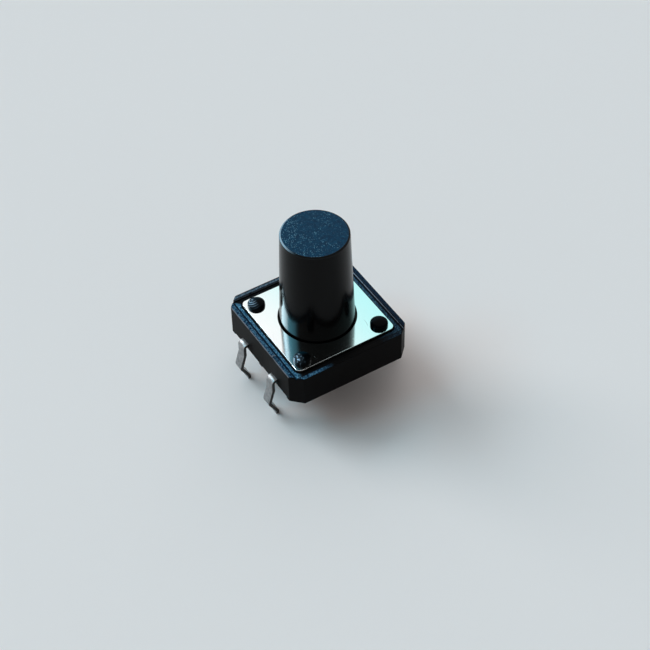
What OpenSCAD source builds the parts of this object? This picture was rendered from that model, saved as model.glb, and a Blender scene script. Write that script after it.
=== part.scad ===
// Tactile push button switch for a circuit board, 12 mm square, with a tall round plunger.
// A moulded base holds two formed contact strips, a snap dome and a tapered plunger.
// A flat cover plate closes it, held by four posts of the base whose ends are formed over it.
// Frame: z = 0 is the top of the circuit board, and the z axis is the plunger's own axis.
// The four legs leave the base on its -X and +X sides.

/* [Body] */
// Width and depth of the moulded base
body_w = 12; // [11.6:0.1:14]
// Cut across each upright corner, measured along the sides
corner_cut = 1; // [0.4:0.1:1.1]
// Height of the rim above the board
rim_top = 3.1; // [2.9:0.1:4]
// Width of the rim's top face
rim_w = 0.45; // [0.3:0.05:0.6]
// Step from the rim's top down to the ledge that runs round the cover plate
ledge_drop = 0.2; // [0.1:0.05:0.25]
// Height of the rails under the base, which keep it off the board
stand_off = 0.15; // [0.1:0.05:0.25]
// Width of the two rails along the edges of the underside
edge_rail_w = 1.5; // [1:0.1:2]
// Width of the rail across the middle of the underside
mid_rail_w = 0.5; // [0.4:0.1:1.5]
// Thickness of plastic between the board side of the base and the contact strips
under_strip = 0.45; // [0.3:0.05:0.5]
// Thickness of plastic over the contact strips
over_strip = 0.2; // [0.15:0.05:0.3]

/* [Cover plate] */
// Distance from each post's axis to the two nearest edges of the cover plate
plate_edge = 1.05; // [1:0.05:1.2]
// Thickness of the cover plate
plate_t = 0.3; // [0.2:0.05:0.4]
// Radius of the plate's corners
plate_corner_r = 0.5; // [0.3:0.1:0.8]
// Radius of the plate's hole for the plunger
plate_hole_r = 3.5; // [3.45:0.05:3.7]
// Gap between the plate's edge and the recess that it lies in
plate_gap = 0.1; // [0.05:0.01:0.15]

/* [Posts] */
// Wall of the base between the plunger's well and each post
post_wall = 0.39; // [0.3:0.01:0.5]
// Radius of a post where it passes through the plate
post_r = 0.65; // [0.5:0.05:0.7]
// Radius of the formed head on top of a post
post_head_r = 0.8; // [0.75:0.05:0.85]
// Height of the formed head above the plate
post_head_h = 0.48; // [0.42:0.01:0.55]
// Radius of the rounded edge of the formed head
post_edge_r = 0.35; // [0.2:0.01:0.4]
// Gap between a post and its hole in the plate
post_gap = 0.05; // [0.02:0.01:0.08]

/* [Plunger] */
// Height of the plunger's top above the board
button_top = 13; // [8:0.5:16]
// Radius of the plunger near its top
button_top_r = 3.05; // [2.6:0.05:3.2]
// Radius of the rounded edge round the plunger's top
button_edge_r = 0.2; // [0.1:0.05:0.4]
// Gap between the plunger and the plate's hole, at the plate
button_gap = 0.13; // [0.1:0.01:0.2]
// Radius of the flange that holds the plunger under the plate
flange_r = 4.4; // [4.2:0.05:4.4]
// Distance from the axis to each of the two flats on the flange
flange_flat = 4; // [3.8:0.05:4.05]
// Thickness of the flange
flange_t = 0.8; // [0.6:0.05:0.85]
// Gap between the flange and its well, all round
flange_gap = 0.15; // [0.1:0.01:0.2]
// Play between the flange and the underside of the plate
flange_play = 0.02; // [0.01:0.01:0.03]
// Radius of the nib that pushes the dome
nib_r = 1; // [0.6:0.1:1.2]
// Gap between the nib and the dome at rest
nib_gap = 0.02; // [0.01:0.01:0.03]
// Travel of the plunger
travel = 0.3; // [0.2:0.05:0.35]
// Gap left under the flange when the plunger is right down
stop_gap = 0.1; // [0.05:0.05:0.15]

/* [Snap dome] */
// Radius of the dome's rim
dome_r = 4; // [3.8:0.05:4]
// Thickness of the dome's metal
dome_t = 0.1; // [0.06:0.01:0.12]
// Gap between the dome's rim and its nest
dome_gap = 0.1; // [0.05:0.01:0.12]

/* [Contact strips] */
// Thickness of the strip
strip_t = 0.3; // [0.25:0.05:0.3]
// Width of the strip and of each leg
strip_w = 1; // [0.8:0.05:1.2]
// Distance between the two legs on one side of the base
leg_pitch = 5; // [4.6:0.1:5.4]
// Distance from the base's side to the middle of the leg's upright stretch
leg_stand = 0.4; // [0.35:0.05:0.6]
// How far the knee of the leg bulges out beyond its upright stretch
knee_out = 0.45; // [0.2:0.05:0.6]
// How far the tip comes back in from the upright stretch
tip_in = 0.27; // [0.1:0.01:0.35]
// Depth below the board at which the leg starts to bend outward
knee_start = 0.35; // [0.2:0.05:0.6]
// Depth of the knee below the board
knee_depth = 1.88; // [1.5:0.05:2.2]
// Depth below the board at which the tip turns straight down
tip_turn = 3.12; // [2.8:0.05:3.3]
// Length of the legs below the board
leg_len = 3.5; // [3.3:0.05:4]
// Radius at the middle of the strip of the bend beside the base
root_bend_r = 0.3; // [0.2:0.05:0.35]
// Radius at the middle of the strip of the other bends
knee_bend_r = 0.4; // [0.3:0.05:0.6]
// Radius of the raised contact in the middle
mid_contact_r = 0.6; // [0.4:0.05:0.7]
// Height of the raised contact in the middle above the floor that the dome sits on
mid_contact_h = 0.15; // [0.1:0.05:0.2]
// Radius of the round pad that carries the contact in the middle
mid_pad_r = 1.25; // [1:0.05:1.4]
// Width of the ring of bare metal round the contact in the middle
bare_ring_w = 0.35; // [0.2:0.05:0.4]
// Radius of the two raised contacts under the dome's rim
rim_contact_r = 0.4; // [0.3:0.05:0.45]

/* [Hidden] */
$fn = 96;

// An overlap that makes joins clean
eps = 0.01;
// How far a cut runs on past the face that it opens
cut_past = 1;
// Faces in each rounded corner of a profile
arc_steps = 8;

// Colours of the materials
black_plastic = [0.09, 0.09, 0.1];
bright_sheet = [0.82, 0.85, 0.86];
spring_steel = [0.72, 0.72, 0.7];
tinned = [0.78, 0.77, 0.74];

// Heights, from the board up
strip_bottom = stand_off + under_strip;
strip_top = strip_bottom + strip_t;
floor_top = strip_top + over_strip;
plate_bottom = rim_top - plate_t;
ledge_top = rim_top - ledge_drop;
mid_contact_top = floor_top + mid_contact_h;
flange_top = plate_bottom - flange_play;
flange_bottom = flange_top - flange_t;
nest_top = flange_bottom - travel - stop_gap;

// Widths, from the axis out. The posts stand on the diagonals, outside the plunger's well,
// and their place is rounded to this step.
place_step = 0.01;
half_w = body_w / 2;
ledge_half = half_w - rim_w;
well_r = flange_r + flange_gap;
well_flat = flange_flat + flange_gap;
post_pos = round((well_r + post_wall + post_r) / sqrt(2) / place_step) * place_step;
plate_w = 2 * (post_pos + plate_edge);
recess_half = plate_w / 2 + plate_gap;
nest_r = dome_r + dome_gap;
button_base_r = plate_hole_r - button_gap;
leg_y = leg_pitch / 2;
mid_window_r = mid_contact_r + bare_ring_w;

// The dome is a cap of a sphere. Its inner face stands one travel above the contact in the middle.
dome_rise = mid_contact_h + travel;
dome_in_r = dome_r - dome_t / 2;
dome_sphere_r = (dome_in_r * dome_in_r + dome_rise * dome_rise) / (2 * dome_rise);
dome_centre_z = floor_top + dome_rise - dome_sphere_r;
dome_top = floor_top + dome_rise + dome_t;
nib_bottom = dome_top + nib_gap;

// The contacts under the dome's rim lie where the strip crosses the rim.
rim_contact_reach = dome_r - rim_contact_r / 2;
rim_contact_x = sqrt(rim_contact_reach * rim_contact_reach - leg_y * leg_y);

// Small marks that the mould's ejector pins leave on the underside
ejector_r = 0.6;
ejector_depth = 0.05;
ejector_in = 2;

// The path of a strip's middle, seen along Y, from the axis out to the tip of the +X leg.
// Each entry is [x, z, radius of the bend there].
upright_x = half_w + leg_stand;
strip_mid_z = strip_bottom + strip_t / 2;
leg_path = [
    [0, strip_mid_z, 0],
    [upright_x, strip_mid_z, root_bend_r],
    [upright_x, -knee_start, knee_bend_r],
    [upright_x + knee_out, -knee_depth, knee_bend_r],
    [upright_x - tip_in, -tip_turn, knee_bend_r],
    [upright_x - tip_in, -leg_len, 0]
];

function unit(v) = v / norm(v);
function left_of(v) = [-v[1], v[0]];
function turned(v, a) = [v[0] * cos(a) - v[1] * sin(a), v[0] * sin(a) + v[1] * cos(a)];
function xz(p) = [p[0], p[1]];

// One side of the strip round the bend at b, side to the left of the way from a to c.
function bend_side(a, b, c, side) =
    let (
        go_in = unit(xz(b) - xz(a)),
        go_out = unit(xz(c) - xz(b)),
        turn = cross(go_in, go_out) > 0 ? 1 : -1,
        angle = acos(go_in * go_out),
        centre = xz(b) - go_in * b[2] * tan(angle / 2) + left_of(go_in) * turn * b[2],
        spoke = left_of(go_in) * (side - turn * b[2])
    )
    [for (i = [0:arc_steps]) centre + turned(spoke, turn * angle * i / arc_steps)];

// One side of the whole strip, side to the left of the way along the path.
function path_side(path, side) =
    let (
        last = len(path) - 1,
        first_way = unit(xz(path[1]) - xz(path[0])),
        last_way = unit(xz(path[last]) - xz(path[last - 1]))
    )
    concat(
        [xz(path[0]) + left_of(first_way) * side],
        [for (i = [1:last - 1]) each bend_side(path[i - 1], path[i], path[i + 1], side)],
        [xz(path[last]) + left_of(last_way) * side]
    );

function reversed(list) = [for (i = [len(list) - 1:-1:0]) list[i]];

// Points of a quarter circle round c, from the angle a on.
function quarter(c, r, a) = [for (i = [0:arc_steps]) c + turned([r, 0], a + 90 * i / arc_steps)];

// A square with its corners cut off straight.
module cut_square(w, cut) {
    h = w / 2;
    polygon([
        [h, cut - h], [h, h - cut], [h - cut, h], [cut - h, h],
        [-h, h - cut], [-h, cut - h], [cut - h, -h], [h - cut, -h]
    ]);
}

// A square with round corners.
module round_square(w, r) {
    square([w, w - 2 * r], center = true);
    square([w - 2 * r, w], center = true);
    for (x = [-1, 1], y = [-1, 1]) translate([x * (w / 2 - r), y * (w / 2 - r)]) circle(r);
}

// A disc with two straight sides, at y = +flat and y = -flat.
module flatted_disc(r, flat) {
    intersection() {
        circle(r);
        square([2 * r + cut_past, 2 * flat], center = true);
    }
}

module at_posts() {
    for (x = [-1, 1], y = [-1, 1]) translate([x * post_pos, y * post_pos, 0]) children();
}

// A post of the base: a plain shank with a head formed over the plate.
module post() {
    translate([0, 0, floor_top]) cylinder(h = rim_top - floor_top + eps, r = post_r);
    translate([0, 0, rim_top])
        rotate_extrude()
            polygon(concat(
                [[0, 0], [post_head_r, 0]],
                quarter([post_head_r - post_edge_r, post_head_h - post_edge_r], post_edge_r, 0),
                [[0, post_head_h]]
            ));
}

// The rails of the underside, on which the base sits on the board.
module rails() {
    rail_h = strip_bottom;
    intersection() {
        linear_extrude(rail_h) cut_square(body_w, corner_cut);
        union() {
            for (y = [-1, 1])
                translate([0, y * (half_w - edge_rail_w / 2), rail_h / 2])
                    cube([body_w + cut_past, edge_rail_w, rail_h], center = true);
            translate([0, 0, rail_h / 2])
                cube([body_w + cut_past, mid_rail_w, rail_h], center = true);
        }
    }
}

// Everything that is cut out of the top of the base.
module base_cavity() {
    up = rim_top + cut_past;
    translate([-ledge_half, -ledge_half, ledge_top])
        cube([2 * ledge_half, 2 * ledge_half, up]);
    translate([0, 0, plate_bottom])
        linear_extrude(up) round_square(2 * recess_half, plate_corner_r + plate_gap);
    translate([0, 0, nest_top]) linear_extrude(up) flatted_disc(well_r, well_flat);
    translate([0, 0, floor_top]) cylinder(h = up, r = nest_r);
    translate([0, 0, strip_top]) cylinder(h = up, r = mid_window_r);
}

module base() {
    color(black_plastic)
    difference() {
        union() {
            difference() {
                translate([0, 0, stand_off])
                    linear_extrude(rim_top - stand_off) cut_square(body_w, corner_cut);
                base_cavity();
            }
            rails();
            at_posts() post();
        }
        for (x = [-1, 1], y = [-1, 1])
            translate([x * (half_w - ejector_in), y * (half_w - edge_rail_w / 2), -cut_past])
                cylinder(h = cut_past + ejector_depth, r = ejector_r);
        centre_strip();
        rim_strip();
    }
}

module plate_hole(r) {
    translate([0, 0, -cut_past]) cylinder(h = plate_t + 2 * cut_past, r = r);
}

module cover_plate() {
    color(bright_sheet)
    translate([0, 0, plate_bottom])
        difference() {
            linear_extrude(plate_t) round_square(plate_w, plate_corner_r);
            plate_hole(plate_hole_r);
            at_posts() plate_hole(post_r + post_gap);
        }
}

module button() {
    color(black_plastic) {
        rotate_extrude()
            polygon(concat(
                [[0, flange_bottom], [button_base_r, flange_bottom], [button_base_r, rim_top]],
                quarter([button_top_r - button_edge_r, button_top - button_edge_r], button_edge_r, 0),
                [[0, button_top]]
            ));
        translate([0, 0, flange_bottom]) linear_extrude(flange_t) flatted_disc(flange_r, flange_flat);
        translate([0, 0, nib_bottom]) cylinder(h = flange_bottom - nib_bottom + eps, r = nib_r);
    }
}

module contact_dome() {
    color(spring_steel)
    intersection() {
        translate([0, 0, dome_centre_z])
            difference() {
                sphere(dome_sphere_r + dome_t);
                sphere(dome_sphere_r);
            }
        translate([0, 0, floor_top]) cylinder(h = dome_rise + cut_past, r = dome_r);
    }
}

// A strip that runs from leg to leg through the base, along X.
module leg_to_leg() {
    half = concat(path_side(leg_path, strip_t / 2), reversed(path_side(leg_path, -strip_t / 2)));
    for (side = [0, 1])
        mirror([side, 0, 0])
            rotate([90, 0, 0])
                linear_extrude(strip_w, center = true) polygon(half);
}

// A contact raised out of the strip, hollow underneath as the punch leaves it.
module raised_contact(r, top) {
    translate([0, 0, strip_bottom]) cylinder(h = top - strip_bottom, r = r);
}

module punch_hollow(r, top) {
    translate([0, 0, strip_bottom - cut_past])
        cylinder(h = top - strip_t - strip_bottom + cut_past, r = r / 2);
}

module centre_strip() {
    difference() {
        union() {
            translate([0, -leg_y, 0]) leg_to_leg();
            translate([-strip_w / 2, -leg_y, strip_bottom]) cube([strip_w, leg_y, strip_t]);
            translate([0, 0, strip_bottom]) cylinder(h = strip_t, r = mid_pad_r);
            raised_contact(mid_contact_r, mid_contact_top);
        }
        punch_hollow(mid_contact_r, mid_contact_top);
    }
}

module rim_strip() {
    translate([0, leg_y, 0])
        difference() {
            union() {
                leg_to_leg();
                for (x = [-1, 1])
                    translate([x * rim_contact_x, 0, 0]) raised_contact(rim_contact_r, floor_top);
            }
            for (x = [-1, 1])
                translate([x * rim_contact_x, 0, 0]) punch_hollow(rim_contact_r, floor_top);
        }
}

module centre_terminal() {
    color(tinned) centre_strip();
}

module rim_terminal() {
    color(tinned) rim_strip();
}

base();
cover_plate();
button();
contact_dome();
centre_terminal();
rim_terminal();
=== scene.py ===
"""Looks of a tactile push button switch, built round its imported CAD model.

Every CAD solid is remade here as a finer mesh in its own place: rounded edges on the moulded base,
the crinkled heads of its posts, the turned plunger, the stamped plate, the dome and the strips.
Sizes that aren't read from the CAD model are named here in millimetres, and MM makes them metres.
"""

import math

import bmesh
import bpy
from mathutils import Matrix, Vector, noise


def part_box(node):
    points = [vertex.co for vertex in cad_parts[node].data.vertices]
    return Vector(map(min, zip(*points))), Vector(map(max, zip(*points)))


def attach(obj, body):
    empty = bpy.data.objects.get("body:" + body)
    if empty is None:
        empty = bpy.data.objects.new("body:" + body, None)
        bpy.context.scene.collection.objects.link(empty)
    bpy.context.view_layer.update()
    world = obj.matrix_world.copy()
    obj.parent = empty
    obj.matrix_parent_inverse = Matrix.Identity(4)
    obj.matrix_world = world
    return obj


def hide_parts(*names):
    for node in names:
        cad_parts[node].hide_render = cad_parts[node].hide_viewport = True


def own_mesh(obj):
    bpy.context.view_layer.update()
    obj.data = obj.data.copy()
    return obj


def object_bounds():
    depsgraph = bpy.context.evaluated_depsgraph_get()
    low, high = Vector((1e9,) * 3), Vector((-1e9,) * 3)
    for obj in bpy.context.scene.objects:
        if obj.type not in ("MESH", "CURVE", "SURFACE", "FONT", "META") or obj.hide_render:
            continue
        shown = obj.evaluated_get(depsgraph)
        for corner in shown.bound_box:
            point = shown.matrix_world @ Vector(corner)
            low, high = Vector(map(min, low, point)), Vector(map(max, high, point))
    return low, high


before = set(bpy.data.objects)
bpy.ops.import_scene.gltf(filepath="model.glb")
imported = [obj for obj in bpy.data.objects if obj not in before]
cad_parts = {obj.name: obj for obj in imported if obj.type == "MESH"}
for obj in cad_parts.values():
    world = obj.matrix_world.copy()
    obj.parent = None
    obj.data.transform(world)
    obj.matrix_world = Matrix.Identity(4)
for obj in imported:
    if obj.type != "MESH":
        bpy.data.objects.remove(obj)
cad_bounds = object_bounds()
MM = 0.001
FULL_TURN = 2 * math.pi
# Corners whose heights differ by less than this are level with each other.
LEVEL = 1e-6


# ---------------------------------------------------------------- sizes read from the CAD model


def heights(node):
    """The heights at which a CAD node has corners, from the lowest up."""
    return sorted({round(v.co.z, 7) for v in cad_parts[node].data.vertices})


def reach(node, z, largest=True):
    """How far a CAD node's corners at height z are from the z axis, at most or at least."""
    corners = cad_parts[node].data.vertices
    at_z = [v.co.xy.length for v in corners if abs(v.co.z - z) < LEVEL]
    return max(at_z) if largest else min(at_z)


floor_z = cad_bounds[0].z
_, base_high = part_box("base")
plate_low, plate_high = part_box("cover_plate")
_, button_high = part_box("button")
dome_low, dome_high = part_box("contact_dome")
half_w = base_high.x
rim_top = plate_high.z
# Where the base's sides, its rim's top and the plunger's top lie, for patterns in millimetres.
side_mm, rim_mm, top_mm = half_w / MM, rim_top / MM, button_high.z / MM


# ---------------------------------------------------------------- mesh tools

# Edges with at least this angle between their faces are shaded sharp.
SHARP = math.radians(40)
# Lengths under this count as nothing: corners nearer than it are joined.
NO_LENGTH = 1e-7
# Corners of a CAD mesh that are nearer to each other than this are one corner.
DOUBLED = 2e-7


def sort_faces(bm):
    """Puts the faces in one fixed order. Rounding leaves them in another order at each run."""
    bm.verts.index_update()
    count = len(bm.verts)

    def rank(face):
        first, second, third = sorted(v.index for v in face.verts)[:3]
        return (first * count + second) * count + third

    bm.faces.sort(key=rank)


def mesh_piece(name, bm, finish, body, nodes):
    """Makes an object of bm that moves with a body and stands for CAD nodes."""
    mesh = bpy.data.meshes.new(name)
    bmesh.ops.dissolve_degenerate(bm, edges=bm.edges, dist=NO_LENGTH)
    bmesh.ops.recalc_face_normals(bm, faces=bm.faces)
    sort_faces(bm)
    for face in bm.faces:
        face.smooth = True
    for edge in bm.edges:
        edge.smooth = len(edge.link_faces) == 2 and edge.calc_face_angle() < SHARP
    bm.to_mesh(mesh)
    bm.free()
    mesh.materials.append(finish)
    piece = bpy.data.objects.new(name, mesh)
    bpy.context.scene.collection.objects.link(piece)
    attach(piece, body)
    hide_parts(*nodes)
    return piece


def flat_normals(piece):
    """Keeps flat faces flat in the shading, up to their rounded edges."""
    weighted = piece.modifiers.new("flat_normals", "WEIGHTED_NORMAL")
    weighted.mode = "FACE_AREA"
    weighted.weight = 100
    weighted.keep_sharp = True
    return piece


def cad_copy(node):
    """A CAD node's mesh with its doubled corners joined and its flat faces whole."""
    bm = bmesh.new()
    bm.from_mesh(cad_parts[node].data)
    bmesh.ops.remove_doubles(bm, verts=bm.verts, dist=DOUBLED)
    bmesh.ops.dissolve_limit(bm, angle_limit=math.radians(1), verts=bm.verts, edges=bm.edges)
    return bm


def round_edges(bm, width, segments, chosen=lambda edge: True, angle=math.radians(30)):
    """Rounds the sharp edges of bm that are chosen."""
    edges = [
        e
        for e in bm.edges
        if len(e.link_faces) == 2 and e.calc_face_angle() > angle and chosen(e)
    ]
    bmesh.ops.bevel(
        bm,
        geom=edges,
        offset=width,
        offset_type="OFFSET",
        segments=segments,
        profile=0.5,
        affect="EDGES",
        clamp_overlap=False,
        loop_slide=True,
    )


def rounded_profile(corners, steps=6):
    """A line through (r, z, radius) corners, with an arc of that radius at each."""
    line = []
    for i, (r, z, radius) in enumerate(corners):
        here = Vector((r, z))
        if radius == 0 or i in (0, len(corners) - 1):
            line.append(here)
            continue
        go_in = (here - Vector(corners[i - 1][:2])).normalized()
        go_out = (Vector(corners[i + 1][:2]) - here).normalized()
        angle = go_in.angle(go_out)
        cut = radius * math.tan(angle / 2)
        start, end = here - go_in * cut, here + go_out * cut
        for k in range(steps + 1):
            t = k / steps
            # A rational curve with this weight is the exact arc between the two tangents.
            weight = math.cos(angle / 2)
            a, b, c = (1 - t) ** 2, 2 * t * (1 - t) * weight, t * t
            line.append((start * a + here * b + end * c) / (a + b + c))
    return line


def revolve(line, turns):
    """A closed solid from a line that runs from the z axis back to the z axis."""
    bm = bmesh.new()
    rings = []
    for p in line:
        if p.x < NO_LENGTH:
            rings.append([bm.verts.new((0, 0, p.y))])
            continue
        ring = []
        for k in range(turns):
            a = FULL_TURN * k / turns
            ring.append(bm.verts.new((p.x * math.cos(a), p.x * math.sin(a), p.y)))
        rings.append(ring)
    for low, high in zip(rings, rings[1:]):
        for k in range(turns):
            n = (k + 1) % turns
            if len(low) == 1:
                bm.faces.new((low[0], high[n], high[k]))
            elif len(high) == 1:
                bm.faces.new((low[k], low[n], high[0]))
            else:
                bm.faces.new((low[k], low[n], high[n], high[k]))
    return bm


# ---------------------------------------------------------------- materials

# The vertex layer that says how far a fold stands out, which the heads' material paints as a
# highlight.
CREST_HIGHLIGHT = "crest_highlight"
# The height of the ledge inside the rim, and the place of a dent in the rim, in millimetres.
LEDGE = rim_mm - 0.25
DENT = (-5.86, -2.55)
# The side on which the plunger's top edge carries a painted highlight.
HIGHLIGHT_SIDE = (-0.86, 0.51, 0.0)


class Finish:
    """A procedural material. Lengths in its patterns are in millimetres on the piece."""

    def __init__(self, name, **fixed):
        self.material = bpy.data.materials.new(name)
        self.material.use_nodes = True
        self.tree = self.material.node_tree
        self.surface = self.tree.nodes["Principled BSDF"]
        for socket, value in fixed.items():
            self.put(socket.replace("_", " "), value)
        place = self.add("TexCoord", out="Object")
        self.place = self.add("VectorMath", {0: place, "Scale": 1 / MM}, operation="SCALE")
        self.x, self.y, self.z = (self.add("SeparateXYZ", {0: self.place}, out=i) for i in "XYZ")
        across = self.calc("ABSOLUTE", self.x), self.calc("ABSOLUTE", self.y)
        self.outward = self.calc("MAXIMUM", *across)
        facing = self.add("NewGeometry", out="True Normal")
        self.along_y, self.up = (self.add("SeparateXYZ", {0: facing}, out=i) for i in "YZ")

    def put(self, socket, value):
        """Sets a socket of the surface shader to a value, or links it to a node's output."""
        self._set(self.surface.inputs[socket], value)

    def _set(self, socket, value):
        if isinstance(value, bpy.types.NodeSocket):
            self.tree.links.new(value, socket)
        elif isinstance(value, (tuple, list)) and socket.type == "RGBA":
            socket.default_value = (*value, 1)
        else:
            socket.default_value = value

    def add(self, kind, inputs=None, out=0, **settings):
        """Adds a node and returns one of its outputs."""
        made = self.tree.nodes.new("ShaderNode" + kind)
        for key, value in settings.items():
            setattr(made, key, value)
        for key, value in (inputs or {}).items():
            self._set(made.inputs[key], value)
        return made.outputs[out]

    def calc(self, operation, a, b=0.0):
        return self.add("Math", {0: a, 1: b}, operation=operation)

    def step(self, value, low, high):
        """0 below low, 1 above high and smooth between."""
        inputs = {"Value": value, "From Min": low, "From Max": high}
        return self.add("MapRange", inputs, interpolation_type="SMOOTHSTEP")

    def band(self, value, middle, full, gone):
        """1 where the value is within full of the middle, 0 where it is gone or more from it."""
        off = self.calc("ABSOLUTE", self.calc("SUBTRACT", value, middle))
        return self.rest(self.step(off, full, gone))

    def rest(self, share):
        """What a share leaves of 1."""
        return self.calc("SUBTRACT", 1.0, share)

    def most(self, *shares):
        """The largest of some shares."""
        largest = shares[0]
        for share in shares[1:]:
            largest = self.calc("MAXIMUM", largest, share)
        return largest

    def both(self, *shares):
        """The product of some shares."""
        product = shares[0]
        for share in shares[1:]:
            product = self.calc("MULTIPLY", product, share)
        return product

    def span(self, value, low, high):
        """Turns a value of 0 to 1 into low to high."""
        return self.add("MapRange", {"Value": value, "To Min": low, "To Max": high})

    def sides(self, west, south, east, north):
        """One value for each of the four sides of a square: -X, -Y, +X and +Y."""
        across, along = self.calc("ABSOLUTE", self.x), self.calc("ABSOLUTE", self.y)
        wide = self.step(self.calc("SUBTRACT", across, along), -0.1, 0.1)
        west_east = self.span(self.step(self.x, -0.1, 0.1), west, east)
        south_north = self.span(self.step(self.y, -0.1, 0.1), south, north)
        inputs = {"Value": wide, "To Min": south_north, "To Max": west_east}
        return self.add("MapRange", inputs)

    def away(self, x, y):
        """Distance in the plan from the point (x, y)."""
        inputs = {0: self.place, 1: (x, y, 0)}
        offset = self.add("VectorMath", inputs, operation="SUBTRACT")
        flat = self.add("VectorMath", {0: offset, 1: (1, 1, 0)}, operation="MULTIPLY")
        return self.add("VectorMath", {0: flat}, out="Value", operation="LENGTH")

    def mix(self, share, a, b):
        """Colour a where share is 0 and colour b where it is 1."""
        made = self.tree.nodes.new("ShaderNodeMix")
        made.data_type = "RGBA"
        for index, value in ((0, share), (6, a), (7, b)):
            self._set(made.inputs[index], value)
        return made.outputs[2]

    def grain(self, scale, detail=2.0, stretch=(1, 1, 1), turn=0.0, rough=0.5, warp=0.0):
        """Noise with about this many bumps a millimetre, turned about z and stretched."""
        turned = self.add("Mapping", {0: self.place, "Rotation": (0, 0, turn)})
        place = self.add("Mapping", {0: turned, "Scale": stretch})
        inputs = {"Vector": place, "Scale": scale, "Detail": detail, "Roughness": rough}
        inputs["Distortion"] = warp
        return self.add("TexNoise", inputs, out="Fac")

    def arcs(self, scale, radius, width, share):
        """Short curved scratches: parts of circles round scattered points."""
        inputs = {"Vector": self.place, "Scale": scale, "Randomness": 1.0}
        away = self.add("TexVoronoi", inputs, out="Distance")
        off = self.calc("ABSOLUTE", self.calc("SUBTRACT", away, radius * scale))
        line = self.rest(self.step(off, 0.0, width * scale))
        kept = self.step(self.grain(scale * 1.7), 1 - share, 1 - share + 0.06)
        return self.calc("MULTIPLY", line, kept)

    def strokes(self, turn, share):
        """Short straight scratches about 0.3 mm long, all at one angle."""
        field = self.grain(14.0, detail=0.0, stretch=(1, 0.28, 1), turn=turn)
        return self.step(field, 1 - share, 1 - share + 0.08)

    def specks(self, scale, radius, share):
        """Scattered dots, of which this share is kept."""
        inputs = {"Vector": self.place, "Scale": scale, "Randomness": 1.0}
        away = self.add("TexVoronoi", inputs, out="Distance")
        shade = self.add("TexVoronoi", inputs, out="Color")
        luck = self.add("SeparateColor", {0: shade}, out="Red")
        dot = self.rest(self.step(away, radius * scale * 0.5, radius * scale))
        return self.calc("MULTIPLY", dot, self.calc("LESS_THAN", luck, share))

    def bumps(self, *layers):
        """Each layer is a height of 0 to 1 and the real height in millimetres."""
        normal = None
        for height, depth in layers:
            inputs = {"Strength": 1.0, "Distance": depth * MM, "Height": height}
            if normal is not None:
                inputs["Normal"] = normal
            normal = self.add("Bump", inputs)
        self.put("Normal", normal)


def base_sky_sheen(f, patches, on_rim):
    """Where the painted reflection of the blue sky, with its grain, lies on the upward faces of
    the base's rim and ledge, and where painted shade leaves them black.
    """
    topmost = f.both(f.step(f.z, LEDGE - 0.01, LEDGE + 0.03), f.step(f.up, 0.90, 0.97))
    # On the rim the painted reflection lies thickest on the -X side; on the -Y side it lies only
    # near the corner with -X, and the rest is left black as painted shade.
    west = f.rest(f.step(f.x, -3.2, -1.8))
    broken = f.step(f.grain(2.2, detail=3.0, rough=0.7), 0.34, 0.52)
    south = f.both(f.calc("LESS_THAN", f.y, -5.2), west, broken)
    east_corner = f.band(f.away(5.3, -5.3), 0.0, 0.6, 2.6)
    east_corner = f.both(east_corner, f.span(patches, 0.1, 1.2), 0.5)
    rim_sky_sheen = f.most(f.sides(0.95, 0.0, 0.60, 1.0), south, east_corner)
    # On the +Y side it stays off the rim's outer edge.
    north_edge = f.step(f.outward, side_mm - 0.17, side_mm - 0.10)
    rim_sky_sheen = f.both(rim_sky_sheen, f.rest(f.both(f.sides(0.0, 0.0, 0.0, 1.0), north_edge)))
    # On the ledge the painted sky reflection lies on the -X side, near the -X corner and partly at
    # +X; at +Y the ledge is left black as painted shade under the rim.
    west_corner = f.both(f.rest(f.step(f.x, -5.3, -4.7)), f.calc("LESS_THAN", f.y, 0.0))
    ledge_sky_sheen = f.most(f.sides(1.0, 0.0, 0.42, 0.02), west_corner, east_corner)
    sky_sheen = f.add("MapRange", {"Value": on_rim, "To Min": ledge_sky_sheen, "To Max": rim_sky_sheen})
    return f.both(sky_sheen, topmost, f.span(patches, 0.85, 1.1))


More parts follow.
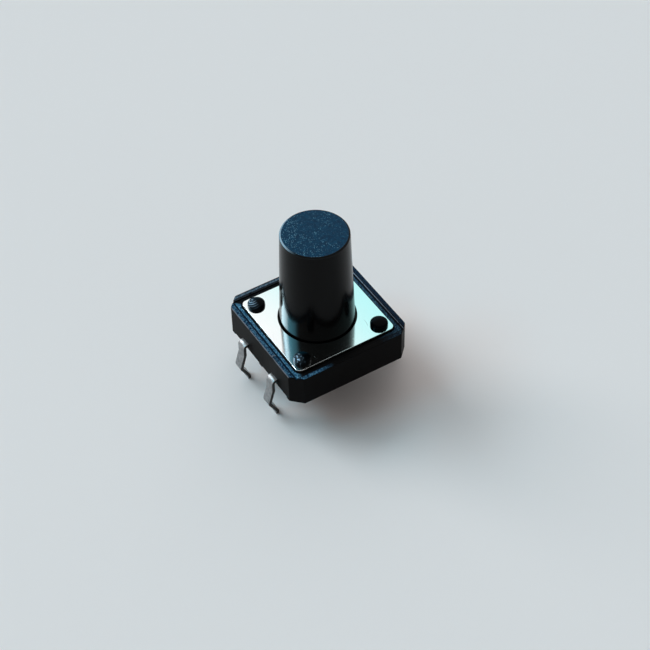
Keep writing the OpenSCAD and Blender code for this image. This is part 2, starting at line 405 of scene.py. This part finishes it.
def moulded_black():
    """Satin black of the base, with a painted reflection of the blue sky on its upward faces,
    painted shade and highlights, and a pale burr on its rim.
    """
    f = Finish("moulded_black", Specular_IOR_Level=0.04)
    patches = f.grain(0.9, detail=3.0)
    on_rim = f.step(f.z, rim_mm - 0.08, rim_mm - 0.03)
    sky_sheen = base_sky_sheen(f, patches, on_rim)
    # The light grains in the painted sky reflection: fewer on the rim at +X.
    light = f.most(f.specks(7.5, 0.055, 0.4), f.step(f.grain(9.5, detail=2.0), 0.42, 0.66))
    smooth = f.calc("MULTIPLY", on_rim, f.sides(0.0, 0.0, 0.8, 0.0))
    light = f.calc("MULTIPLY", light, f.rest(smooth))
    # The colours of the painted sky reflection on ledge and rim, dark with light grains.
    ledge = f.mix(light, (0.008, 0.060, 0.128), (0.140, 0.350, 0.520))
    rim = f.mix(light, (0.0005, 0.016, 0.046), (0.080, 0.210, 0.330))
    # On the rim at +Y the painted sky reflection is paler and greyer.
    north_rim = f.mix(light, (0.036, 0.062, 0.088), (0.130, 0.200, 0.265))
    rim = f.mix(f.sides(0.0, 0.0, 0.0, 1.0), rim, north_rim)
    body = f.mix(sky_sheen, (0.0026, 0.0022, 0.0022), f.mix(on_rim, ledge, rim))
    # The step between rim and ledge is painted dark as shade, and so is the inside of a dent in
    # the rim, whose lip carries a painted highlight.
    step_shade = f.band(f.outward, side_mm - 0.53, 0.06, 0.12)
    step_shade = f.both(step_shade, f.step(f.z, LEDGE - 0.01, LEDGE + 0.03))
    dent_away = f.away(*DENT)
    dent = f.both(f.rest(f.step(dent_away, 0.30, 0.36)), on_rim)
    # A darker colour for the painted shade in the step and the dent.
    dark = f.mix(sky_sheen, (0.0020, 0.0018, 0.0018), (0.002, 0.012, 0.026))
    body = f.mix(f.most(step_shade, f.calc("MULTIPLY", dent, 0.5)), body, dark)
    # The dent's lip is pale on its +Y side only, as a painted highlight.
    lip_side = f.step(f.y, DENT[1] + 0.10, DENT[1] + 0.30)
    lip = f.both(f.band(dent_away, 0.40, 0.03, 0.09), lip_side, on_rim, 0.7)
    # The outer edge of the rim has scuffs along its length; the inner one at +X and +Y carries a
    # painted highlight, broken by the same noise.
    edge = f.both(
        f.step(f.z, rim_mm - 0.11, rim_mm - 0.07),
        f.step(f.outward, side_mm - 0.07, side_mm - 0.04),
        f.sides(1.0, 0.0, 0.15, 0.15),
    )
    inner = f.both(
        f.band(f.outward, side_mm - 0.46, 0.02, 0.045),
        f.step(f.z, rim_mm - 0.17, rim_mm - 0.14),
        f.sides(0.0, 0.0, 1.0, 0.6),
    )
    scuff_and_highlight_mask = f.step(f.grain(2.4, detail=4.0, rough=0.7), 0.32, 0.50)
    # The pale burr along the outer edge, and the painted highlight on the dent's lip.
    body = f.mix(f.most(f.both(edge, scuff_and_highlight_mask), lip), body, (0.17, 0.19, 0.22))
    # The painted highlight along the rim's inner edge.
    f.put("Base Color", f.mix(f.both(inner, scuff_and_highlight_mask), body, (0.30, 0.37, 0.47)))
    rough = f.span(patches, 0.42, 0.52)
    f.put("Roughness", f.calc("ADD", rough, f.calc("MULTIPLY", sky_sheen, 0.08)))
    f.bumps((f.grain(5.0, detail=5.0), 0.003), (f.both(light, sky_sheen), 0.012), (dent, -0.02))
    return f.material


def formed_black():
    """The shinier skin that the forming tool leaves on the posts' heads, with painted highlights
    along its folds and a painted blue sheen towards +Y.
    """
    f = Finish("formed_black", Specular_IOR_Level=0.03)
    skin = f.mix(f.grain(4.0), (0.0008, 0.0010, 0.0012), (0.0014, 0.0026, 0.0036))
    # A painted reflection of the blue sky turns it blue towards +Y.
    blue_sheen = f.both(f.step(f.along_y, 0.0, 0.20), f.span(f.grain(3.0, detail=3.0), 0.2, 1.2))
    skin = f.mix(blue_sheen, skin, (0.004, 0.022, 0.034))
    crest_highlight = f.add("Attribute", out="Fac", attribute_name=CREST_HIGHLIGHT)
    # Painted highlights on the folds' crests.
    f.put("Base Color", f.mix(crest_highlight, skin, (0.42, 0.62, 0.80)))
    f.put("Roughness", f.span(f.grain(5.0, detail=3.0), 0.14, 0.26))
    f.bumps((f.grain(7.0, detail=3.0), 0.004))
    return f.material


def plunger_black():
    """Smooth black sides, and a matte end face whose blue-grey is a painted reflection of the sky,
    with fine short scratches.
    """
    f = Finish("plunger_black", Specular_IOR_Level=0.085)
    top = f.step(f.z, top_mm - 0.012, top_mm - 0.003)
    marks = f.specks(3.4, 0.05, 0.25)
    for turn, share in ((0.3, 0.29), (1.2, 0.27), (2.1, 0.28), (2.75, 0.26)):
        marks = f.calc("MAXIMUM", marks, f.strokes(turn, share))
    # The scratches are fewer towards +X.
    worn = f.calc("ADD", f.grain(0.8, detail=2.0), f.calc("MULTIPLY", f.x, -0.05))
    marks = f.both(marks, f.span(f.step(worn, 0.34, 0.62), 0.2, 1.0), top)
    dust = f.specks(0.9, 0.035, 0.10)
    cloud = f.grain(3.0, detail=5.0, rough=0.75)
    # The end face's blue is a painted reflection of the sky.
    matte = f.mix(f.step(cloud, 0.30, 0.70), (0.0004, 0.020, 0.050), (0.001, 0.048, 0.100))
    matte = f.mix(marks, matte, (0.115, 0.290, 0.400))
    body = f.mix(dust, (0.0016, 0.0013, 0.0013), (0.10, 0.08, 0.06))
    f.put("Base Color", f.mix(top, body, matte))
    side_rough = f.span(f.grain(1.5, detail=3.0, stretch=(1, 1, 0.25)), 0.14, 0.22)
    f.put("Roughness", f.calc("ADD", side_rough, f.calc("MULTIPLY", top, 0.30)))
    fine = f.calc("MULTIPLY", f.grain(14.0, detail=3.0), top)
    f.bumps((f.grain(1.1, detail=2.0), 0.003), (fine, 0.008), (marks, 0.004))
    return f.material


def polished_black():
    """The plunger's rounded edge, polished by handling."""
    f = Finish("polished_black", Specular_IOR_Level=0.12)
    black = f.mix(f.grain(2.0, detail=3.0), (0.003, 0.003, 0.003), (0.006, 0.007, 0.008))
    # Its upper part carries a pale painted highlight on one side.
    inputs = {0: f.place, 1: HIGHLIGHT_SIDE}
    edge_highlight = f.step(f.add("VectorMath", inputs, out="Value", operation="DOT_PRODUCT"), 1.6, 2.75)
    upper = f.step(f.z, top_mm - 0.11, top_mm - 0.05)
    edge_highlight = f.both(edge_highlight, upper, f.span(f.grain(3.0), 0.6, 1.2))
    f.put("Base Color", f.mix(edge_highlight, black, (0.28, 0.42, 0.52)))
    f.put("Roughness", f.span(f.grain(5.0, detail=3.0), 0.11, 0.20))
    f.bumps((f.grain(6.0, detail=3.0), 0.002))
    return f.material


def bright_sheet():
    """Rolled stainless sheet, nearly a mirror, with a painted reflection of the sky. Its sheared
    edges are rough, and painted dark as shade.
    """
    f = Finish("bright_sheet", Metallic=1.0)
    # A painted reflection of the cyan sky deepens from -X to +X.
    lean = f.calc("ADD", f.x, f.calc("MULTIPLY", f.y, 0.12))
    lean = f.calc("ADD", lean, f.span(f.grain(0.3, detail=3.0), -1.0, 1.0))
    face = f.mix(f.step(lean, -6.5, 5.5), (0.97, 0.985, 0.985), (0.51, 0.95, 0.95))
    # One longer scratch, part of a circle, curves past the post at +X and -Y.
    curve = f.both(f.band(f.away(2.0, -3.0), 1.145, 0.008, 0.035), f.band(f.y, -3.15, 0.25, 0.5))
    curve = f.both(curve, f.step(f.x, 2.6, 2.8), 0.5)
    face = f.mix(curve, face, (0.22, 0.42, 0.42))
    # The rolled edge keeps the bright face colour round the corner at -X and -Y, as a painted
    # highlight.
    front_edge_highlight = f.band(f.away(-4.7, -4.7), 0.0, 0.4, 1.2)
    sheared = f.step(f.calc("ADD", f.up, f.calc("MULTIPLY", front_edge_highlight, 0.2)), 0.99, 0.90)
    # The sheared edges are painted dark as shade.
    edge_shade = f.mix(f.grain(6.0, detail=3.0), (0.03, 0.03, 0.032), (0.12, 0.12, 0.12))
    f.put("Base Color", f.mix(sheared, face, edge_shade))
    lines = f.grain(7.0, detail=4.0, stretch=(0.05, 1, 1))
    marks = f.arcs(0.45, 0.75, 0.03, 0.44)
    rough = f.span(f.grain(0.9, detail=4.0), 0.05, 0.12)
    rough = f.calc("ADD", rough, f.calc("MULTIPLY", f.step(lines, 0.55, 0.75), 0.04))
    rough = f.calc("ADD", rough, f.calc("MULTIPLY", marks, 0.22))
    f.put("Roughness", f.calc("ADD", rough, f.calc("MULTIPLY", sheared, 0.4)))
    f.bumps((f.grain(0.3, detail=1.0), 0.004), (lines, 0.0004), (marks, 0.002))
    return f.material


def tinned():
    """Tinned strip: slightly dull and mottled, with fine lines along it and sheared edges painted
    dark as shade.
    """
    f = Finish("tinned", Metallic=1.0)
    mottle = f.grain(3.0, detail=5.0, rough=0.65)
    face = f.mix(f.step(mottle, 0.3, 0.7), (0.21, 0.215, 0.22), (0.36, 0.365, 0.37))
    sheared = f.step(f.calc("ABSOLUTE", f.along_y), 0.55, 0.85)
    # The sheared edges, facing +Y and -Y, are painted dark as shade.
    edge_shade = f.mix(mottle, (0.03, 0.03, 0.03), (0.10, 0.095, 0.09))
    f.put("Base Color", f.mix(sheared, face, edge_shade))
    lines = f.grain(9.0, detail=3.0, stretch=(0.12, 1, 0.12))
    rough = f.span(f.grain(2.2, detail=4.0), 0.34, 0.50)
    f.put("Roughness", f.calc("ADD", rough, f.calc("MULTIPLY", sheared, 0.20)))
    f.bumps((mottle, 0.010), (lines, 0.004))
    return f.material


def spring_steel():
    """Bright spring steel of the dome, finely brushed."""
    f = Finish("spring_steel", Metallic=1.0)
    lines = f.grain(8.0, detail=4.0, stretch=(0.06, 1, 1))
    f.put("Base Color", f.mix(lines, (0.58, 0.58, 0.56), (0.68, 0.68, 0.66)))
    f.put("Roughness", f.span(lines, 0.18, 0.34))
    f.bumps((lines, 0.002))
    return f.material


def pale_floor():
    """The plain pale floor."""
    f = Finish("pale_floor", Roughness=0.5, Specular_IOR_Level=0.3)
    clouds = f.grain(0.02, detail=3.0)
    f.put("Base Color", f.mix(clouds, (0.84, 0.798, 0.785), (0.86, 0.818, 0.805)))
    f.bumps((f.grain(0.6, detail=3.0), 0.01))
    return f.material


# ---------------------------------------------------------------- base

# Radii of the outer edges and of the edges of the rim's step.
EDGE_R = 0.05
STEP_R = 0.08
# The rim's inner edges lie between these distances from the base's sides, the ledge's up to the
# next one, and the underside's outline up to the last.
RIM_INNER = (0.2, 0.6)
LEDGE_INNER = 1.1
UNDERSIDE_OUTER = 0.1
HEAD_TURNS = 120
HEAD_RINGS = 48
# How far a folded head's skin is set back, so that its folds stay inside the CAD head.
HEAD_SKIN = 0.02
# How square a head's shoulder is, and the share of its height that the crown takes.
HEAD_SHOULDER = 8
HEAD_CROWN = 0.25
# The folds run round this point of the head and fade with the distance from it.
FOLD_FROM = (-0.19, 0.38)
FOLD_REACH = 0.75
# Radians of a fold's wave to a millimetre, and the height of the wave.
FOLD_TURN = 25
FOLD_H = 0.032
# Crinkles to a millimetre, which way they run, and how high they are.
CRINKLES = 6.5
CRINKLE_WAY = (0.51, 0.86)
CRINKLE_H = 0.160
# Bumps to a millimetre in the noise that bends the folds: broad, and fine near their middle.
WAVES = 1.5
WOBBLES = 4.5
WOBBLE_REACH = 0.35
# A fold this high carries the painted highlight fully, and the skin near the folds carries it to
# this share.
HIGHLIGHT_LIFT = 0.022
HIGHLIGHT_SKIN = 0.10
# Each post's side in x and in y, how strong its folds and its crinkles are, and a seed.
HEADS = (
    (-1, 1, 1.0, 0.10, 1),
    (-1, -1, 0.2, 1.0, 5),
    (1, -1, 0.0, 0.0, 9),
    (1, 1, 0.4, 0.4, 13),
)

head_corners = [v.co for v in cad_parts["base"].data.vertices if v.co.z > rim_top + LEVEL]
head_far = max(p.x for p in head_corners)
head_near = min(p.x for p in head_corners if p.x > 0)
head_r = (head_far - head_near) / 2
head_h = base_high.z - rim_top
post_x = (head_far + head_near) / 2


def head_profile():
    """Points (r, z) from a head's foot to its middle: an upright wall under a low crown."""

    def across(share):
        return (1 - share**HEAD_SHOULDER) ** (1 / HEAD_SHOULDER)

    def point(wide, high):
        return Vector((head_r * wide, head_h * high * (1 - HEAD_CROWN * wide**2)))

    middle = across(0.5 ** (1 / HEAD_SHOULDER))
    steps = 200
    shares = [middle * i / steps for i in range(steps)]
    fine = [point(across(share), share) for share in shares]
    fine += [point(share, across(share)) for share in (middle, *reversed(shares))]
    run = [0.0]
    for p, q in zip(fine, fine[1:]):
        run.append(run[-1] + (q - p).length)
    points, k = [], 0
    for i in range(HEAD_RINGS + 1):
        while k < len(run) - 1 and run[k] < run[-1] * i / HEAD_RINGS:
            k += 1
        points.append(fine[k])
    return points


def clamp(share):
    return min(1.0, max(0.0, share))


def skin_lift(p, folds, crinkles, seed):
    """How far a head's skin stands out at p, and the share of the folding that reaches there."""
    away = (p.xy - Vector(FOLD_FROM) * MM) / MM
    down = (head_h - p.z) / MM
    fade = math.exp(-(((away.length + down) / FOLD_REACH) ** 2))
    fade *= clamp(0.6 - away.x * 2)
    fade *= clamp(1 - away.y * 3)
    wave = noise.noise(Vector((p.x, p.y, seed * MM)) * (WAVES / MM))
    wobble = 5 * noise.noise(p * (WOBBLES / MM))
    wobble *= math.exp(-((away.length / WOBBLE_REACH) ** 2))
    ripple = math.sin((away.length + down * 0.6) * FOLD_TURN + wave * 2 + wobble)
    run = p.xy.dot(Vector(CRINKLE_WAY)) / MM
    side = p.xy.cross(Vector(CRINKLE_WAY)) / MM
    crinkle = noise.noise(Vector((side * CRINKLES + wave, run * CRINKLES * 0.7, seed)))
    crinkle = max(-0.2, crinkle - 0.06)
    return fade * (folds * FOLD_H * ripple + crinkles * CRINKLE_H * crinkle), fade


def post_head(bm, crest_highlight, x, y, folds, crinkles, seed):
    """One post's formed head: a low dome, its skin folded round a point by the forming tool."""
    centre = Vector((x, y, rim_top))
    formed = min(1.0, folds + crinkles)
    rings = []
    for i, (r, z) in enumerate(head_profile()):
        ring = []
        for k in range(HEAD_TURNS if i < HEAD_RINGS else 1):
            t = FULL_TURN * k / HEAD_TURNS
            p = Vector((r * math.cos(t), r * math.sin(t), z))
            outward = Vector((p.x / head_r**2, p.y / head_r**2, p.z / head_h**2)).normalized()
            lift, fade = skin_lift(p, folds, crinkles, seed)
            # The foot keeps its round outline.
            above_foot = min(1.0, 8 * i / HEAD_RINGS)
            p += outward * (lift - HEAD_SKIN * formed) * MM * above_foot
            vert = bm.verts.new(centre + p)
            # How much painted highlight the heads' material puts on this corner.
            vert[crest_highlight] = max(HIGHLIGHT_SKIN * fade * formed, clamp(lift / HIGHLIGHT_LIFT) ** 1.4)
            ring.append(vert)
        rings.append(ring)
    faces = [bm.faces.new(list(reversed(rings[0])))]
    for low, high in zip(rings, rings[1:]):
        for k in range(HEAD_TURNS):
            n = (k + 1) % HEAD_TURNS
            upper = [high[0]] if len(high) == 1 else [high[n], high[k]]
            faces.append(bm.faces.new([low[k], low[n], *upper]))
    for face in faces:
        face.material_index = 1


def make_base():
    """The moulding with its edges rounded and each CAD head replaced by a formed one."""
    bm = cad_copy("base")

    def in_head(vert):
        """The corners of the CAD heads, down to the outline of their flat undersides."""
        offset = Vector((abs(vert.co.x) - post_x, abs(vert.co.y) - post_x)).length
        under = abs(vert.co.z - rim_top) < LEVEL and 0.9 * head_r < offset < 1.1 * head_r
        return under or vert.co.z > rim_top + LEVEL

    bmesh.ops.delete(bm, geom=[v for v in bm.verts if in_head(v)], context="VERTS")
    bmesh.ops.holes_fill(bm, edges=[e for e in bm.edges if e.is_boundary])

    def inset(edge):
        """How far in from the base's sides an edge lies, in millimetres."""
        return (half_w - min(max(abs(v.co.x), abs(v.co.y)) for v in edge.verts)) / MM

    def step_edge(edge):
        """The inner edges of the rim's top."""
        level = all(abs(v.co.z - rim_top) < LEVEL for v in edge.verts)
        return level and RIM_INNER[0] < inset(edge) < RIM_INNER[1]

    def outer_edge(edge):
        """The edges of the rim and the ledge, the upright ones, and the underside's outline."""
        a, b = (v.co.z for v in edge.verts)
        upper, lower = min(a, b) > rim_top - 0.5 * MM, max(a, b) < 0.55 * MM
        near_side = inset(edge) < (UNDERSIDE_OUTER if lower else LEDGE_INNER)
        return near_side and (upper or lower or a != b)

    round_edges(bm, STEP_R * MM, 3, step_edge)
    round_edges(bm, EDGE_R * MM, 3, outer_edge)
    crest_highlight = bm.verts.layers.float.new(CREST_HIGHLIGHT)
    for x, y, folds, crinkles, seed in HEADS:
        post_head(bm, crest_highlight, x * post_x, y * post_x, folds, crinkles, seed)
    base = mesh_piece("base_moulding", bm, moulded_black(), "housing", ["base"])
    base.data.materials.append(formed_black())
    return flat_normals(base)


# ---------------------------------------------------------------- plunger

TURNS = 192
# Radius of the flange's and the nib's edges, and the least radius of the top's rounded edge.
SMALL_R = 0.06
TOP_EDGE_LEAST = 0.19


def make_plunger():
    """The plunger, turned from the CAD model's own radii and heights."""
    levels = heights("button")
    nib_z, flange_z, neck_z, plate_z = levels[:4]
    flat_r = reach("button", levels[-1])
    edge_z = max(z for z in levels if reach("button", z) > flat_r + TOP_EDGE_LEAST * MM)
    flange_r, flat_y = button_high.x, button_high.y
    nib_r, neck_r = reach("button", nib_z), reach("button", neck_z, largest=False)
    top_r, edge_r = reach("button", edge_z), button_high.z - edge_z
    small = SMALL_R * MM
    line = rounded_profile(
        [
            (0, nib_z, 0),
            (nib_r, nib_z, small),
            (nib_r, flange_z, 0),
            (flange_r, flange_z, small),
            (flange_r, neck_z, small),
            (neck_r, neck_z, 0),
            (neck_r, plate_z, 0),
            (top_r, edge_z, 0),
            (top_r, button_high.z, edge_r),
            (0, button_high.z, 0),
        ],
        steps=10,
    )
    bm = revolve(line, TURNS)
    for v in bm.verts:
        if v.co.xy.length > neck_r + small and abs(v.co.y) > flat_y:
            v.co.y = math.copysign(flat_y, v.co.y)
    for face in bm.faces:
        centre = face.calc_center_median()
        face.material_index = int(centre.z > edge_z and centre.xy.length > top_r - edge_r)
    plunger = mesh_piece(
        "plunger_moulding", bm, plunger_black(), "plunger", ["button"]
    )
    plunger.data.materials.append(polished_black())
    return flat_normals(plunger)


# ---------------------------------------------------------------- cover plate

PLATE_EDGE_R = 0.05
# The straight bits that make an outer corner's arc and a post's hole.
CORNER_STEPS = 12
HOLE_STEPS = 64


def circle_line(x, y, r, steps, start=0.0, angle=FULL_TURN):
    """Points on an arc round (x, y), with both its ends unless it is a whole circle."""
    around = (start + angle * k / steps for k in range(steps + (angle < FULL_TURN)))
    return [(x + r * math.cos(a), y + r * math.sin(a)) for a in around]


def sheet_mesh(lines, thick, edge):
    """A flat sheet of a thickness, with rolled edges, from its outline and those of its holes."""
    curve = bpy.data.curves.new("plate_outline", "CURVE")
    curve.dimensions = "2D"
    curve.fill_mode = "BOTH"
    for line in lines:
        spline = curve.splines.new("POLY")
        spline.points.add(len(line) - 1)
        for point, (x, y) in zip(spline.points, line):
            point.co = (x, y, 0, 1)
        spline.use_cyclic_u = True
    curve.extrude = thick / 2 - edge
    curve.bevel_depth = edge
    curve.bevel_resolution = 3
    curve.offset = -edge
    drawn = bpy.data.objects.new("plate_outline", curve)
    mesh = bpy.data.meshes.new_from_object(drawn)
    bpy.data.objects.remove(drawn)
    bm = bmesh.new()
    bm.from_mesh(mesh)
    bpy.data.meshes.remove(mesh)
    bmesh.ops.remove_doubles(bm, verts=bm.verts, dist=NO_LENGTH)
    return bm


def make_plate():
    """The stamped plate: an outline with five holes, given its thickness and rolled edges."""
    corners = [v.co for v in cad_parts["cover_plate"].data.vertices]
    half = plate_high.x
    big_r = reach("cover_plate", plate_high.z, largest=False)
    post_hole_r = min((p.xy - Vector((post_x, post_x))).length for p in corners)
    corner_r = half - max(p.y for p in corners if p.x > half - NO_LENGTH)
    straight = half - corner_r
    quarter = FULL_TURN / 4
    outline = []
    for k, (x, y) in enumerate(((1, 1), (-1, 1), (-1, -1), (1, -1))):
        at = x * straight, y * straight
        outline += circle_line(*at, corner_r, CORNER_STEPS, k * quarter, quarter)
    lines = [outline, circle_line(0, 0, big_r, TURNS)]
    for x, y in ((-1, -1), (-1, 1), (1, -1), (1, 1)):
        lines.append(circle_line(x * post_x, y * post_x, post_hole_r, HOLE_STEPS))
    bm = sheet_mesh(lines, plate_high.z - plate_low.z, PLATE_EDGE_R * MM)
    bmesh.ops.translate(bm, verts=bm.verts, vec=(0, 0, (plate_high.z + plate_low.z) / 2))
    plate = mesh_piece(
        "plate_sheet", bm, bright_sheet(), "housing", ["cover_plate"]
    )
    # Its upper and lower faces are shaded flat, and its rolled edges smooth.
    for face in plate.data.polygons:
        face.use_smooth = abs(face.normal.z) < 0.999
    return plate


# ---------------------------------------------------------------- dome and contact strips

STRIP_EDGE_R = 0.035
# The dome's sheet thickness, and the rings and turns of its mesh.
DOME_T = 0.1
DOME_RINGS = 40
DOME_TURNS = 96


def make_dome():
    """The snap dome: a thin cap of a sphere."""
    rim_r, thick = dome_high.x, DOME_T * MM
    rise = dome_high.z - dome_low.z - thick
    inner_r = rim_r - thick / 2
    ball = (inner_r**2 + rise**2) / (2 * rise)
    centre_z = dome_high.z - thick - ball
    lower, upper = [], []
    for k in range(DOME_RINGS + 1):
        r = inner_r * k / DOME_RINGS
        lower.append(Vector((r, centre_z + math.sqrt(ball**2 - r**2))))
    for k in range(DOME_RINGS + 1):
        r = rim_r * (1 - k / DOME_RINGS)
        upper.append(Vector((r, centre_z + math.sqrt((ball + thick) ** 2 - r**2))))
    line = [*lower, Vector((rim_r, dome_low.z)), *upper]
    bm = revolve(line, DOME_TURNS)
    dome = mesh_piece("snap_dome", bm, spring_steel(), "housing", ["contact_dome"])
    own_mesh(dome)
    return dome


def make_strip(name, node, finish):
    """A contact strip with its legs, its sheared edges rounded."""
    bm = cad_copy(node)
    round_edges(bm, STRIP_EDGE_R * MM, 2)
    return flat_normals(mesh_piece(name, bm, finish, "housing", [node]))


make_base()
make_plunger()
make_plate()
make_dome()
tin = tinned()
make_strip("centre_strip", "centre_terminal", tin)
make_strip("rim_strip", "rim_terminal", tin)


# ---------------------------------------------------------------- floor, light and camera

FLOOR_HALF = 1.0
# A broad sun lamp from behind the switch: where it stands, how wide it looks in degrees.
SUN_FROM = (-0.45, 0.80, 0.62)
SUN_ANGLE = 34
SUN_STRENGTH = 1.6
SUN_COLOUR = (1.0, 0.965, 0.95)
# The light of the room from all sides.
AMBIENT = (0.210, 0.206, 0.204)
# A soft round card: where it is seen from the switch, the angles at which it fades, and its light.
CARD = ((0.33, 0.60, 0.73), 24, 46, (1.00, 1.00, 1.00))
# A long cool strip light: its azimuth and half its length as angles, the sine of its height and
# half its width in the same measure, and its light. Each half is first where it begins to fade.
STRIP = (138, (24, 40), 0.72, (0.035, 0.10), (1.5, 4.6, 6.0))
# What the camera sees behind the floor.
BACKDROP = (0.82, 0.83, 0.84)
# Reflections show the backdrop up to here, as the sine of its height; above it is the room.
BACKDROP_TOP = (0.45, 0.62)

# The camera's angles in degrees, its place in millimetres and its lens.
CAMERA_AZIMUTH = -30.488
CAMERA_ELEVATION = 46.294
CAMERA_ROLL = -1.607
CAMERA_AT = (-54.64, -94.09, 115.59)
LENS = 97.84


def make_floor():
    """A wide flat floor under the tips of the legs."""
    bm = bmesh.new()
    bmesh.ops.create_grid(bm, x_segments=8, y_segments=8, size=FLOOR_HALF)
    mesh = bpy.data.meshes.new("floor")
    bm.to_mesh(mesh)
    bm.free()
    mesh.materials.append(pale_floor())
    floor = bpy.data.objects.new("floor", mesh)
    floor.location.z = floor_z
    bpy.context.scene.collection.objects.link(floor)


def make_world():
    """An even dim room with a large soft card behind the switch and a strip light beside it."""
    world = bpy.data.worlds.new("studio")
    world.use_nodes = True
    bpy.context.scene.world = world
    tree = world.node_tree
    tree.nodes.clear()

    def add(kind, inputs, out=0, **settings):
        made = tree.nodes.new("ShaderNode" + kind)
        for key, value in settings.items():
            setattr(made, key, value)
        for key, value in inputs.items():
            if isinstance(value, bpy.types.NodeSocket):
                tree.links.new(value, made.inputs[key])
            else:
                made.inputs[key].default_value = value
        return made.outputs[out]

    def fade(value, gone, full):
        inputs = {"Value": value, "From Min": gone, "From Max": full}
        return add("MapRange", inputs, interpolation_type="SMOOTHSTEP")

    def within(direction, at, full, gone):
        """1 where a direction is within an angle of another, fading to 0 at a wider angle."""
        inputs = {0: direction, 1: tuple(Vector(at).normalized())}
        along = add("VectorMath", inputs, out="Value", operation="DOT_PRODUCT")
        return fade(along, math.cos(math.radians(gone)), math.cos(math.radians(full)))

    def lit(room, share, colour):
        """The room's light with a lamp's colour in its place where the share is 1."""
        return add("Mix", {0: share, 6: room, 7: (*colour, 1)}, out=2, data_type="RGBA")

    way = add("TexCoord", {}, out="Generated")
    height = add("SeparateXYZ", {0: way}, out="Z")
    seen_at, full, gone, colour = CARD
    room = lit((*AMBIENT, 1), within(way, seen_at, full, gone), colour)
    azimuth, length, middle, width, colour = STRIP
    level = add("VectorMath", {0: way, 1: (1, 1, 0)}, operation="MULTIPLY")
    level = add("VectorMath", {0: level}, operation="NORMALIZE")
    at = (math.cos(math.radians(azimuth)), math.sin(math.radians(azimuth)), 0)
    off = add("Math", {0: height, 1: middle}, operation="SUBTRACT")
    off = add("Math", {0: off}, operation="ABSOLUTE")
    share = {0: within(level, at, *length), 1: fade(off, width[1], width[0])}
    room = lit(room, add("Math", share, operation="MULTIPLY"), colour)
    light = add("Background", {"Color": room, "Strength": 1.0})
    shown = add("Background", {"Color": (*BACKDROP, 1), "Strength": 1.0})
    low = fade(height, BACKDROP_TOP[1], BACKDROP_TOP[0])
    reflected = add("LightPath", {}, out="Is Glossy Ray")
    reflected = add("Math", {0: reflected, 1: low}, operation="MULTIPLY")
    seen = add("LightPath", {}, out="Is Camera Ray")
    seen = add("Math", {0: seen, 1: reflected}, operation="MAXIMUM")
    both = add("MixShader", {0: seen, 1: light, 2: shown})
    tree.links.new(both, tree.nodes.new("ShaderNodeOutputWorld").inputs[0])


def make_sun():
    """The key light."""
    lamp = bpy.data.lights.new("key", "SUN")
    lamp.energy = SUN_STRENGTH
    lamp.angle = math.radians(SUN_ANGLE)
    lamp.color = SUN_COLOUR
    key = bpy.data.objects.new("key", lamp)
    key.rotation_mode = "QUATERNION"
    key.rotation_quaternion = Vector(SUN_FROM).to_track_quat("Z", "Y")
    bpy.context.scene.collection.objects.link(key)


def make_camera():
    """The camera, aimed by its azimuth and elevation and rolled a little."""
    a, e, roll = (math.radians(v) for v in (CAMERA_AZIMUTH, CAMERA_ELEVATION, CAMERA_ROLL))
    back = Vector((math.sin(a) * math.cos(e), -math.cos(a) * math.cos(e), math.sin(e)))
    right = Vector((0, 0, 1)).cross(back).normalized()
    up = back.cross(right)
    rolled_right = right * math.cos(roll) + up * math.sin(roll)
    rolled_up = up * math.cos(roll) - right * math.sin(roll)
    lens = bpy.data.cameras.new("camera")
    lens.lens = LENS
    lens.clip_start = 0.001
    camera = bpy.data.objects.new("camera", lens)
    turn = Matrix((rolled_right, rolled_up, back)).transposed()
    camera.matrix_world = Matrix.Translation(Vector(CAMERA_AT) * MM) @ turn.to_4x4()
    bpy.context.scene.collection.objects.link(camera)
    bpy.context.scene.camera = camera


make_floor()
make_world()
make_sun()
make_camera()
bpy.context.scene.view_settings.view_transform = "Standard"

bpy.context.view_layer.update()
